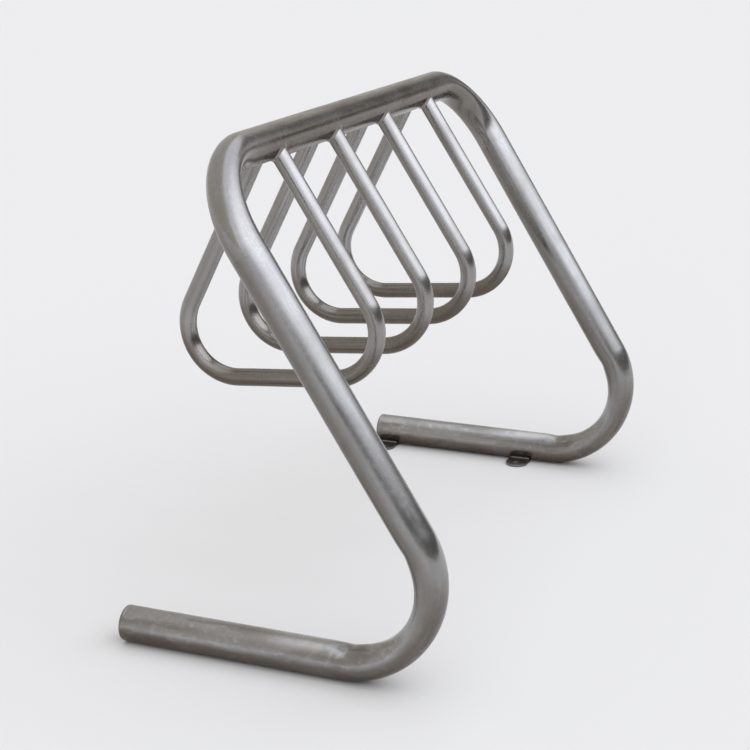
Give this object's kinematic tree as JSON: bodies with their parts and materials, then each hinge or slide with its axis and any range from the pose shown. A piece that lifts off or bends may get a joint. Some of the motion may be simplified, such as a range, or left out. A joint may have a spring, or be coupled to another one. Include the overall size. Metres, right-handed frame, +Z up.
{
  "type": "bike rack",
  "caption": "Bike rack of bent steel tube: a leaning frame on ground runs, with triangular wheel hoops welded under its crossbar and tabs for anchor bolts.",
  "frame": {"origin": "on the ground, under the middle of the rack's bounding box", "axes": "+Z up, +X along the crossbar, +Y from the foot bends towards the capped ends of the ground runs"},
  "size_m": [1.192, 0.575, 0.8401],
  "materials": {
    "frame_tube": "satin stainless tube, brushed along its length, with ground marks and faint heat tint",
    "hoop_tube": "satin stainless tube, brushed along its length",
    "weld": "rippled weld bead, brushed but darker than the tube",
    "tab_plate": "mill finish plate, dull and slightly scratched"
  },
  "bodies": {
    "root": {"crossbar": "frame_tube", "left_leg": "frame_tube", "right_leg": "frame_tube", "hoop_1": "hoop_tube", "hoop_2": "hoop_tube", "hoop_3": "hoop_tube", "hoop_4": "hoop_tube", "hoop_1_front_weld": "weld", "hoop_1_rear_weld": "weld", "hoop_2_front_weld": "weld", "hoop_2_rear_weld": "weld", "hoop_3_front_weld": "weld", "hoop_3_rear_weld": "weld", "hoop_4_front_weld": "weld", "hoop_4_rear_weld": "weld", "left_seam_weld": "weld", "right_seam_weld": "weld", "left_end_cap": "frame_tube", "right_end_cap": "frame_tube", "left_cap_weld": "weld", "right_cap_weld": "weld", "left_front_tab": "tab_plate", "left_rear_tab": "tab_plate", "right_front_tab": "tab_plate", "right_rear_tab": "tab_plate", "left_front_tab_weld": "weld", "left_rear_tab_weld": "weld", "right_front_tab_weld": "weld", "right_rear_tab_weld": "weld"}
  },
  "joints": []
}
